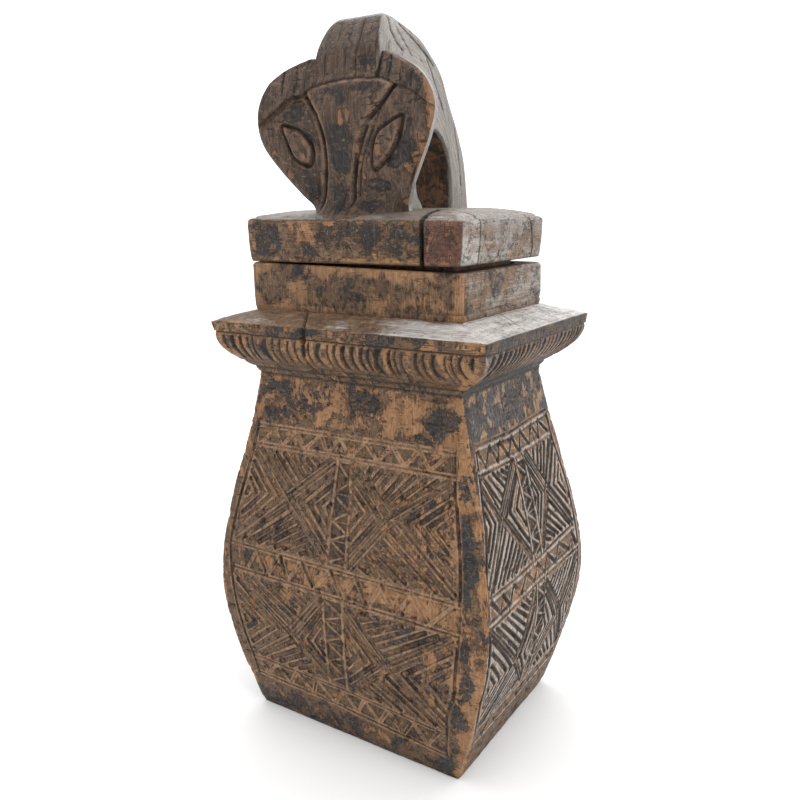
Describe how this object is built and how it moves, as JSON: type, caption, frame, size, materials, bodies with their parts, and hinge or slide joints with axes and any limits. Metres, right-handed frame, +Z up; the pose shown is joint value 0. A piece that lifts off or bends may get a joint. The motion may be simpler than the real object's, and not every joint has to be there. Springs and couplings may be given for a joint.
{
  "type": "carved wooden storage box",
  "caption": "Tall carved hardwood box with bulging chip-carved walls, a fluted cornice, a square collar and a lift-off slab lid with a masked arch handle.",
  "frame": {"origin": "centre of the plan at the underside of the base", "axes": "+Z up along the height, the carved head faces -Y, the long side of the plan runs along X"},
  "size_m": [0.2532, 0.1853, 0.5498],
  "materials": {
    "box_body": "aged hardwood with a dark patina, worn tan on the arrises",
    "lid": "aged hardwood, weathered grey on the end grain",
    "lid_corner_patch": "reddish aged hardwood",
    "lid_corner_peg": "dark end grain"
  },
  "bodies": {
    "box": {"box_body": "box_body"},
    "lid": {"lid": "lid", "lid_corner_patch": "lid_corner_patch", "lid_corner_peg": "lid_corner_peg"}
  },
  "joints": [
    {"name": "lid_lift", "type": "slide", "parent": "box", "child": "lid", "axis": [0, 0, 1], "range_m": [0, 0.12]}
  ]
}
